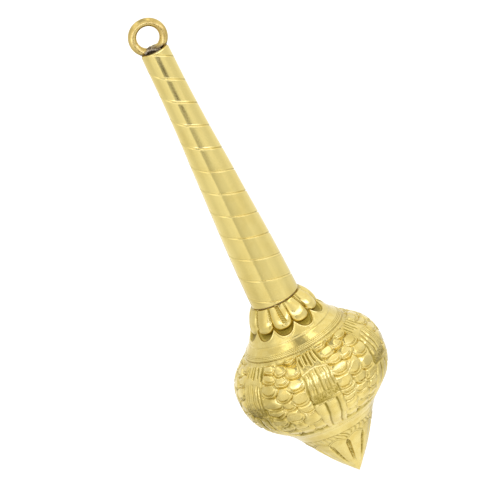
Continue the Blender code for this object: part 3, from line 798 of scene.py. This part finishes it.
def panel_field(q, z, number):
    """One upright panel, q degrees from its middle: short strokes, reeds, a stippled patch, flutes."""
    height = np.full(z.shape, -0.10)
    tarnish_and_shade = np.full(z.shape, 0.12)
    for middle, top, bottom in STROKES:
        stroke = bell(q - middle + 0.12 * (z + 171.0), 0.95) * smooth(bottom - 0.6, bottom + 0.9, z)
        stroke = stroke * smooth(top + 0.4, top - 0.8, z)
        height = height - 0.75 * stroke
        tarnish_and_shade = tarnish_and_shade + 0.95 * stroke
    arch = REEDS_TOP - 0.016 * q**2
    reeds = smooth(arch + 0.3, arch - 0.5, z) * smooth(PATCH_TOP, -186.2, z)
    wave = np.full(z.shape, 0.30)
    line = np.zeros(z.shape)
    for middle, bold in REED_LINES:
        reach = 0.50 + 0.50 * bold
        wave = wave - 1.05 * bold * bell(q - middle, 1.35 * reach)
        line = line + 0.95 * bold * bell(q - middle, 0.70 * reach)
    height = toward(height, wave, reeds)
    tarnish_and_shade = toward(tarnish_and_shade, np.clip(line, 0, 1.1), reeds)
    sill = bell(z - arch, 0.45) * (1 - reeds)
    height = height - 0.30 * sill
    tarnish_and_shade = tarnish_and_shade + 0.25 * sill
    patch = smooth(-186.3, PATCH_TOP, z) * smooth(-191.8, -191.0, z)
    stipple = wander(q * 9.0 + number * 40.0, z, 200, 1.9, 53)
    height = height - patch * (0.30 + 0.20 * stipple)
    tarnish_and_shade = tarnish_and_shade + patch * (0.38 + 0.40 * stipple)
    cross = bell(z - CROSS_LINE + 0.03 * q, 0.62) * smooth(9.0, -2.0, q)
    height = height - 0.60 * cross
    tarnish_and_shade = tarnish_and_shade + 0.75 * cross
    flutes = smooth(-192.6, -193.4, z) * smooth(-210.4, -208.8, z)
    run = np.clip((SEAM - z) / FLUTE_LENGTH, 0.0, 1.0)
    walls = (-12.4 - 0.6 * run, -3.2 - 2.4 * run, 6.8 - 0.8 * run, 12.4 + 0.8 * run)
    shape = np.full(z.shape, -0.5)
    line = np.full(z.shape, 0.5)
    for a, b in zip(walls[:-1], walls[1:], strict=True):
        f = np.clip((q - a) / (b - a), 0.0, 1.0)
        inside = (q >= a) & (q < b)
        shape = np.where(inside, np.sin(np.pi * f) ** 0.55 - 0.90, shape)
        line = np.where(inside, 1.1 - 1.1 * smooth(0.0, 0.17, np.minimum(f, 1 - f)), line)
    height = toward(height, shape, flutes)
    tarnish_and_shade = toward(tarnish_and_shade, 0.05 + line * (1.0 - 0.35 * run), flutes)
    border = bell(np.abs(q) - 11.6, 0.7) * (1 - flutes)
    height = height - 0.50 * border
    tarnish_and_shade = tarnish_and_shade + 0.42 * border
    return height, np.clip(tarnish_and_shade, 0.0, 1.15)


def bulb_relief(columns, z):
    """Height over the bulb's outline and tarnish with painted shade, on the grid of columns (degrees) by z
    (mm, one column).
    """
    flat = z + 0 * columns
    phi = columns + 0 * z
    warp = 1.3 * wander(phi, flat, 30, 0.14, 61) + 0.45 * wander(phi, flat, 60, 0.45, 65)
    lift = 0.55 * wander(phi, flat, 26, 0.12, 63) + 0.18 * wander(phi, flat, 90, 0.5, 67)
    phi = phi + warp
    zs = np.linspace(-212.0, -166.0, 1200)
    along = arc_length(zs)
    arc = np.interp(flat + lift, zs, along)
    # sunk ground between the scales, in painted shade
    height = np.full(flat.shape, -1.15)
    tarnish_and_shade = np.full(flat.shape, 0.8)
    for scale in all_scales():
        lay_scale(height, tarnish_and_shade, columns[0], phi, arc, scale, float(np.interp(scale[1], zs, along)))
    turn = (phi - PANEL_PHASE + SIXTH / 2) / SIXTH
    q = (turn - np.floor(turn)) * SIXTH - SIXTH / 2
    number = np.floor(turn).astype(int) % 6
    panel_h, panel_d = panel_field(q, flat + lift, number)
    inside = smooth(12.2, 11.5, np.abs(q))
    height = toward(height, panel_h, inside)
    tarnish_and_shade = toward(tarnish_and_shade, panel_d, inside)
    # tarnish with a pitted skin in patches, and painted shade heaviest low on the left
    left = bell(wrapped(phi + 55.0), 34.0) * smooth(-184.0, -195.0, flat)
    left = left * smooth(-207.0, -200.0, flat)
    patchy_tarnish_and_shade = 0.75 * left + 0.55 * wander(phi, flat, 16, 0.12, 93)
    patchy_tarnish_and_shade = smooth(0.15, 0.85, patchy_tarnish_and_shade + 0.25 * wander(phi, flat, 70, 0.6, 95))
    pits = wander(phi, flat, 220, 1.1, 97)
    height = height + patchy_tarnish_and_shade * 0.10 * pits
    tarnish_and_shade = tarnish_and_shade + patchy_tarnish_and_shade * (0.26 + 0.30 * pits)
    hem = smooth(HEM_TOP, -210.2, flat + 0.5 * lift)
    dash = np.clip(np.sin(np.radians(q * 30.0)) * 1.4, 0, 1) * bell(flat - DASHES, 0.8) * (1 - inside)
    height = toward(height, -0.15, hem)
    tarnish_and_shade = toward(tarnish_and_shade, 0.04, hem)
    height = height - 0.35 * dash
    tarnish_and_shade = np.clip(tarnish_and_shade + 0.6 * dash, 0, 1.15)
    # under the shoulder's beads the relief sinks, with a moderate painted shade
    brow = smooth(-169.2, -168.2, flat)
    height = toward(height, -1.35, brow)
    tarnish_and_shade = toward(tarnish_and_shade, 0.35, brow)
    return height, tarnish_and_shade


def bulb_half(name, top, bottom, rows, seed, back):
    """One half of the bulb: its face with the relief, in evenly spaced rows, and its plain back."""
    phi = around(720)
    fine = np.linspace(top, bottom, 800)
    arc = arc_length(fine)
    z = np.interp(np.linspace(0, arc[-1], rows), arc, fine)[:, None]
    slope = (curve_through(BULB_STATIONS, z + 0.02) - curve_through(BULB_STATIONS, z - 0.02)) / 0.04
    length = np.hypot(1.0, slope)
    flat = z + 0 * phi
    height, tarnish_and_shade = bulb_relief(phi, z)
    height = height + 0.05 * wander(phi, flat, 120, 0.9, seed) + 0.08 * wander(phi, flat, 18, 0.1, 87) - 0.06
    off_panel = np.abs(np.mod(phi + SIXTH / 2 - PANEL_PHASE, SIXTH) - SIXTH / 2)
    height = np.minimum(height, np.where(off_panel < PANEL_HALF_ANGLE, PANEL_CEILING, SCALE_CEILING))
    radius = curve_through(BULB_STATIONS, z) + height / length
    ends = smooth(0.0, 1.0, top - flat) * smooth(0.0, 1.0, flat - bottom)
    level = np.clip(flat - ends * height * slope / length, bottom, top)
    # the plain back gets full painted shade
    plain, dark = hoops(back, phi)
    points = np.concatenate([round_grid(radius, level, phi), plain])
    return grid_mesh(name, points, np.concatenate([tarnish_and_shade, dark]))


def bulb_upper():
    top, bottom = -168.05, SEAM + SEAM_HALF_GAP
    back = ((34.3, bottom), (34.9, -188.0), (33.9, -182.0), (30.9, -176.0), (23.5, -170.4), (23.5, top))
    return bulb_half("bulb_top", top, bottom, 130, 81, back)


def bulb_lower():
    top, bottom = SEAM - SEAM_HALF_GAP, -211.5
    floor_top = -208.4
    inside = ((SHANK_BORE, bottom), (SHANK_BORE, floor_top), (19.0, floor_top))
    back = inside + ((27.0, -203.0), (32.0, -197.0), (34.2, top))
    return bulb_half("bulb_bottom", top, bottom, 104, 91, back)


# ---- band, spike and stud


def tip_band():
    """Plain band that carries on the bulb's outline, with one shallow fold on its right."""
    phi = around(480)
    top, bottom = -211.52, -216.5
    z = np.linspace(top, bottom, 56)[:, None] + 0 * phi
    uneven = 0.05 * wander(phi, z, 22, 0.3, 101)
    radius = curve_through(BULB_STATIONS[:-1] + ((-215.0, 21.35), (-217.0, 20.0)), z) - 0.22
    right = np.sin(np.radians(phi))
    fold = 0.10 * bell(z + 213.2 + 0.3 * right, 0.35) * smooth(-0.2, 0.6, right)
    tarnish_and_shade = 0.55 * smooth(-216.15, bottom, z) + 2.0 * fold
    back = ((SHANK_BORE, bottom), (SHANK_BORE, -214.3), (15.5, -214.3), (19.0, top))
    # the hidden back gets full painted shade
    plain, dark = hoops(back, phi)
    points = np.concatenate([round_grid(radius + uneven - fold, z, phi), plain])
    return grid_mesh("tip_collar", points, np.concatenate([tarnish_and_shade, dark]))


SPIKE_TOP = -216.7
SPIKE_TIP = -244.6
SPIKE_STATIONS = (
    (-216.0, 20.5), (-218.0, 19.3), (-220.0, 18.1), (-222.5, 16.8), (-226.0, 14.8), (-229.0, 12.85),
    (-232.0, 10.8), (-235.0, 8.6), (-238.0, 6.2), (-241.0, 3.75), (-243.2, 1.9), (-244.6, 0.6),
)
LEAVES = 11
LEAF_PHASE = 3.0  # angle of the groove at the front
LEAF_TOP = -222.0
LEAF_LENGTH = 22.0
DEGREES_IN_RADIAN = 57.3


def tip_spike():
    """Leaves with hatched grooves between them, under a double scalloped border."""
    phi = around(616)
    z = np.linspace(SPIKE_TOP, SPIKE_TIP + 0.1, 152)[:, None] + 0 * phi
    pitch = 360.0 / LEAVES
    turn = np.mod(phi - LEAF_PHASE + pitch / 2, pitch) - pitch / 2
    side = np.abs(turn) / (pitch / 2)
    cone = curve_through(SPIKE_STATIONS, z)
    down = (LEAF_TOP - z) / LEAF_LENGTH
    run = np.clip(down, 0.0, 1.0)
    # leaf: a facet that is nearly flat from one groove to the next
    facet = 1.0 - 0.034 * (1.0 - side) ** 1.5 * smooth(0.0, 0.25, run)
    off = turn + 2.5 * (run - 0.4)
    half = (1.25 - 0.85 * run) * smooth(-0.03, 0.10, down) / np.maximum(cone, 2.0) * DEGREES_IN_RADIAN
    groove = smooth(half * 1.25 + 0.3, half * 0.55, np.abs(off)) * smooth(-221.6, -222.6, z)
    groove = groove * smooth(0.80, 0.48, run)
    hatch = 0.5 + 0.5 * np.sin(z * 5.6 + 0.7 * np.sin(np.radians(phi * 40.0)))
    rough = wander(phi, z, 160, 1.1, 113)
    depth = 0.75 * np.clip(cone / 8.0, 0.25, 1.0)
    radius = cone * facet - groove * depth * (1.0 + 0.22 * (hatch - 0.5) + 0.22 * rough)
    lip = bell(np.abs(off) - half * 1.35, 1.0) * smooth(-221.5, -223.0, z) * smooth(0.8, 0.4, run)
    radius = radius + 0.10 * lip
    tarnish_and_shade = groove * np.clip(0.62 + 0.25 * hatch + 0.35 * rough, 0.2, 1.1)
    # border: a hatched strip closed below by a fine double ridge that dips at each groove
    dip = np.clip(1.0 - side, 0.0, 1.0) ** 1.6
    lower = -219.6 - 2.3 * dip
    border = smooth(lower - 0.30, lower, z)
    radius = radius - 0.42 * (1 - border)
    strip = smooth(lower + 0.45, lower + 0.85, z)
    cuts = np.sin(np.radians(phi) * 44.0 + z * 2.4 + 4.0 * wander(phi, z, 22, 0.35, 115))
    cuts = (0.5 + 0.5 * cuts) ** 1.6
    patchy = 0.6 + 0.5 * wander(phi, z, 20, 0.2, 117)
    radius = radius - strip * (0.18 + 0.42 * cuts * patchy) - 0.20 * bell(z - lower - 0.48, 0.16)
    tarnish_and_shade = tarnish_and_shade * (1 - border) + strip * (0.10 + 0.75 * cuts * patchy) + 0.5 * bell(z - lower - 0.50, 0.20)
    tarnish_and_shade = tarnish_and_shade + 0.70 * bell(z - lower + 0.42, 0.26)
    radius = radius + 0.05 * wander(phi, z, 36, 0.5, 111) * np.clip(cone / 10.0, 0, 1)
    skin = round_grid(np.maximum(radius, 0.2), z, phi)
    shank = ((2.3, -200.8), (2.95, -201.4), (2.95, SPIKE_TOP), (19.0, SPIKE_TOP), (19.6, SPIKE_TOP))
    # darker and rougher: painted shade on the hidden shank and top face
    top, dull = hoops(shank, phi, 0.8)
    point, clean = hoops(((0.3, SPIKE_TIP + 0.02),), phi, 0.0)
    marks = np.concatenate([dull, np.clip(tarnish_and_shade, 0.0, 1.1), clean])
    return grid_mesh("spike", np.concatenate([top, skin, point]), marks, loop=False, caps=True)


def neck_stud():
    """M8 stud with its thread drawn as one right-handed helix."""
    top, bottom = -133.5, -171.5
    pitch = 1.25
    phi = around(48)
    z = np.linspace(top, bottom, 340)[:, None] + 0 * phi
    phase = np.mod(z / pitch - phi / 360.0, 1.0)
    tooth = np.abs(phase * 2.0 - 1.0)
    radius = 3.98 - 0.62 * np.clip(tooth * 1.25 - 0.12, 0, 1)
    taper = np.minimum(smooth(0.0, 0.9, top - z), smooth(0.0, 0.9, z - bottom))
    radius = radius - 0.6 * (1 - taper)
    tarnish_and_shade = np.clip(tooth, 0, 1) * 0.6
    return grid_mesh("stud_thread", round_grid(radius, z, phi), tarnish_and_shade, loop=False, caps=True)


# ---- build

polished = polished_brass()
chased = chased_brass("chased_brass")
collar_metal = chased_brass("collar_brass", rough=0.14, grain=0.35, olive=0.20)
smooth_metal = chased_brass("smooth_brass", rough=0.15, grain=0.35, olive=0.20)
spike_metal = chased_brass("spike_brass", rough=0.20, grain=0.5, olive=0.12)
steel = plain_metal("fastener_steel", STEEL_LIGHT, STEEL_DARK, 0.32)
inner = plain_metal("inner_brass", INNER_LIGHT, INNER_DARK, 0.38)
fibre = washer_fibre()

grip = handle_tube()
cut_ring_slot(grip)
finish_piece(grip, "handle", polished, "handle_tube")
finish_piece(hanging_ring(), "handle", ring_brass(), "hanging_ring")
finish_piece(braze_fillet(), "handle", braze_metal(), "ring_braze")
finish_piece(petal_collar(), "head", collar_metal, "petal_collar")
finish_piece(shoulder_flange(), "head", smooth_metal, "shoulder_flange")
finish_piece(bulb_upper(), "head", chased, "bulb_upper_shell")
finish_piece(bulb_lower(), "head", chased, "bulb_lower_shell")
finish_piece(tip_band(), "head", smooth_metal, "tip_band")
finish_piece(tip_spike(), "head", spike_metal, "tip_spike")
finish_piece(neck_stud(), "head", steel, "neck_stud")

for node, material in (
    ("foot_bush", inner),
    ("seam_ring", inner),
    ("stud_washer", steel),
    ("stud_nut", steel),
    ("tip_washer", steel),
    ("tip_nut", steel),
    ("joint_washer", fibre),
):
    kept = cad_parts[node]
    kept.data.materials.clear()
    kept.data.materials.append(material)


# ---- stage, light and camera, lengths in metres

FLOOR = -0.262
FLOOR_HALF = 2.5
quarters = ((-1, -1), (1, -1), (1, 1), (-1, 1))
floor_mesh = bpy.data.meshes.new("floor")
floor_mesh.from_pydata([(x * FLOOR_HALF, y * FLOOR_HALF, FLOOR) for x, y in quarters], [], [(0, 1, 2, 3)])
floor = place("floor", floor_mesh)
paper = bpy.data.materials.new("floor_paper")
paper.use_nodes = True
paper_shader = paper.node_tree.nodes["Principled BSDF"]
paper_shader.inputs["Base Color"].default_value = (0.93, 0.93, 0.92, 1)
paper_shader.inputs["Roughness"].default_value = 0.9
paper_shader.inputs["Specular IOR Level"].default_value = 0.1
floor_mesh.materials.append(paper)
floor.visible_glossy = False


TENT_RADIUS = 0.45
TENT_LOW = -0.60
TENT_HIGH = 0.45


class Light(Nodes):
    """Node tree of one glowing panel of the tent."""

    def __init__(self, name):
        super().__init__(name)
        self.tree.nodes.remove(self.shader)
        split = self.make("SeparateXYZ")
        self.link(self.where, split.inputs[0])
        self.x, self.y, self.z = (split.outputs[axis] for axis in "XYZ")

    def ramp(self, value, low, high, stops):
        """Smooth level through (spot, level) stops, spots from low to high."""
        node = self.make("ValToRGB")
        node.color_ramp.interpolation = "EASE"
        elements = node.color_ramp.elements
        while len(elements) > 1:
            elements.remove(elements[-1])
        for i, (spot, level) in enumerate(stops):
            at = (spot - low) / (high - low)
            element = elements[0] if i == 0 else elements.new(at)
            element.position = at
            element.color = (level, level, level, 1)
        scaled = self.times(self.math("SUBTRACT", value, low), 1.0 / (high - low))
        self.link(scaled, node.inputs[0])
        return node.outputs[0]

    def blend(self, share, a, b):
        return self.add(a, self.times(share, self.math("SUBTRACT", b, a)))

    def glow(self, level, colour=None):
        emission = self.make("Emission")
        if colour is not None:
            self.link(colour, emission.inputs["Color"])
        self.link(level, emission.inputs["Strength"])
        out = self.tree.nodes["Material Output"]
        self.link(emission.outputs[0], out.inputs["Surface"])
        return self.material


def tent_piece(name, points, faces, material):
    mesh = bpy.data.meshes.new(name)
    mesh.from_pydata(points, [], faces)
    mesh.materials.append(material)
    obj = place(name, mesh)
    obj.visible_camera = False
    obj.visible_diffuse = False
    obj.visible_shadow = False
    obj.visible_transmission = False
    obj.visible_volume_scatter = False


# level of the tent's wall by azimuth in degrees, in four bands from its top down
CROWN = (
    (-180, 0.88), (-130, 0.86), (-90, 0.80), (-42, 1.16), (-20, 1.12), (-5, 0.95), (10, 0.90),
    (30, 0.98), (46, 1.12), (80, 1.00), (102, 1.04), (180, 0.90),
)
CHEST = (
    (-180, 1.03), (-144, 0.93), (-110, 0.80), (-81, 0.76), (-53, 0.89), (-23, 1.00), (-18, 0.60),
    (-9, 0.48), (6, 0.62), (17, 0.86), (29, 0.97), (42, 0.90), (60, 0.78), (81, 0.78), (116, 0.90),
    (180, 1.10),
)
WAIST = (
    (-180, 1.05), (-144, 1.02), (-110, 0.90), (-81, 0.81), (-53, 0.91), (-23, 1.00), (-19, 0.58),
    (-10, 0.72), (8, 0.80), (30, 0.81), (42, 0.91), (60, 0.86), (81, 0.82), (116, 0.93),
    (180, 1.05),
)
FOOT = (
    (-180, 0.95), (-150, 0.90), (-115, 0.60), (-75, 0.62), (-45, 0.92), (-20, 0.95), (-5, 0.98),
    (15, 1.15), (40, 1.18), (60, 1.00), (85, 0.70), (140, 0.68), (180, 0.95),
)
# level of the ceiling, of the base and of the darker strip, by place across the tent
CEILING = (
    (-0.45, 0.90), (-0.38, 0.90), (-0.30, 1.10), (-0.20, 1.60), (-0.13, 1.20), (-0.06, 0.75),
    (-0.01, 0.46), (0.12, 0.46), (0.19, 0.90), (0.25, 2.00), (0.32, 1.80), (0.39, 0.80),
    (0.45, 1.05),
)
BASE = (
    (-0.45, 0.75), (-0.25, 0.84), (-0.10, 0.97), (0.02, 1.05), (0.15, 1.07), (0.30, 0.90),
    (0.45, 0.8),
)
STRIP = ((-0.07, 0.40), (-0.01, 0.06), (0.05, 0.44))
KEY_LEVEL = 1.4
KEY_COLOUR = (0.92, 0.97, 1.45)


def tent_wall():
    """Glow of the wall: four bands that fade into each other and a cool key window in front."""
    wall = Light("tent_wall")
    azimuth = wall.math("ARCTAN2", wall.x, wall.times(wall.y, -1.0))
    degrees = wall.times(azimuth, 180.0 / math.pi)
    bands = (CROWN, CHEST, WAIST, FOOT)
    crown, chest, waist, foot = (wall.ramp(degrees, -180.0, 180.0, band) for band in bands)
    to_crown = wall.ramp(wall.z, TENT_LOW, TENT_HIGH, ((-0.118, 0.0), (-0.09, 1.0)))
    to_waist = wall.ramp(wall.z, TENT_LOW, TENT_HIGH, ((-0.18, 1.0), (-0.14, 0.0)))
    to_foot = wall.ramp(wall.z, TENT_LOW, TENT_HIGH, ((-0.34, 1.0), (-0.25, 0.0)))
    level = wall.blend(to_foot, wall.blend(to_waist, chest, waist), foot)
    level = wall.blend(to_crown, level, crown)
    upright = ((-0.095, 0.0), (-0.065, 1.0), (-0.01, 1.0), (0.03, 0.0))
    tall = wall.ramp(wall.z, TENT_LOW, TENT_HIGH, upright)
    wide = wall.ramp(degrees, -180.0, 180.0, ((-50, 0.0), (-25, 1.0), (60, 1.0), (80, 0.0)))
    key = wall.times(tall, wide)
    level = wall.add(level, wall.times(key, KEY_LEVEL))
    return wall.glow(level, wall.mix(key, (1.0, 1.0, 1.0), KEY_COLOUR))


def tent_across(name, half, stops):
    """Glow of a panel whose level changes only across the tent."""
    panel = Light(name)
    return panel.glow(panel.ramp(panel.x, -half, half, stops))


def tent():
    """Round tent of soft light that only reflections show: wall, ceiling, darker strip and base."""
    count = 240
    turns = np.linspace(0, 2 * math.pi, count, endpoint=False)
    ring = [(TENT_RADIUS * math.sin(a), -TENT_RADIUS * math.cos(a)) for a in turns]
    low = [(x, y, TENT_LOW) for x, y in ring]
    high = [(x, y, TENT_HIGH) for x, y in ring]
    disc = [tuple(range(count))]
    sides = [(i, (i + 1) % count, count + (i + 1) % count, count + i) for i in range(count)]
    tent_piece("tent_side", low + high, sides, tent_wall())
    tent_piece("tent_top", high, disc, tent_across("tent_ceiling", TENT_RADIUS, CEILING))
    # a darker strip hung in front of the handle's middle
    corners = ((-0.066, -0.188), (-0.022, -0.199), (0.022, -0.199), (0.046, -0.195))
    strips = [(x, y, z) for z in (-0.086, -0.060) for x, y in corners]
    quads = [(i, i + 1, i + 5, i + 4) for i in range(3)]
    tent_piece("tent_slot", strips, quads, tent_across("tent_slot", 0.10, STRIP))
    tent_piece("tent_bottom", low, disc, tent_across("tent_base", TENT_RADIUS, BASE))


tent()

scene = bpy.context.scene
world = bpy.data.worlds.new("studio")
scene.world = world
world.use_nodes = True
tree = world.node_tree
tree.nodes.clear()
rays = tree.nodes.new("ShaderNodeLightPath")
soft = tree.nodes.new("ShaderNodeBackground")
soft.inputs["Color"].default_value = (1.0, 0.995, 0.98, 1)
soft.inputs["Strength"].default_value = 0.92
white = tree.nodes.new("ShaderNodeBackground")
white.inputs["Strength"].default_value = 1.75
pick = tree.nodes.new("ShaderNodeMixShader")
out = tree.nodes.new("ShaderNodeOutputWorld")
tree.links.new(rays.outputs["Is Glossy Ray"], pick.inputs["Fac"])
tree.links.new(white.outputs[0], pick.inputs[1])
tree.links.new(soft.outputs[0], pick.inputs[2])
tree.links.new(pick.outputs[0], out.inputs["Surface"])

ELEVATION = math.radians(18.5)
ROLL = math.radians(26.1)
DISTANCE = 6.0
LENS_PER_METRE = 149.4
AIM = Vector((-0.00089, 0.00034, -0.11929))
ahead = Vector((0.0, math.cos(ELEVATION), -math.sin(ELEVATION)))
upright = Vector((0.0, math.sin(ELEVATION), math.cos(ELEVATION)))
across = Vector((1.0, 0.0, 0.0))
right = across * math.cos(ROLL) - upright * math.sin(ROLL)
up = across * math.sin(ROLL) + upright * math.cos(ROLL)
camera_data = bpy.data.cameras.new("camera")
camera_data.lens = LENS_PER_METRE * DISTANCE
camera_data.sensor_width = 36.0
camera_data.clip_start = 0.05
camera_data.clip_end = 20.0
camera = place("camera", camera_data)
pose = Matrix((right, up, -ahead)).transposed().to_4x4()
pose.translation = AIM - ahead * DISTANCE
camera.matrix_world = pose
scene.camera = camera
scene.view_settings.view_transform = "Standard"
scene.view_settings.look = "None"
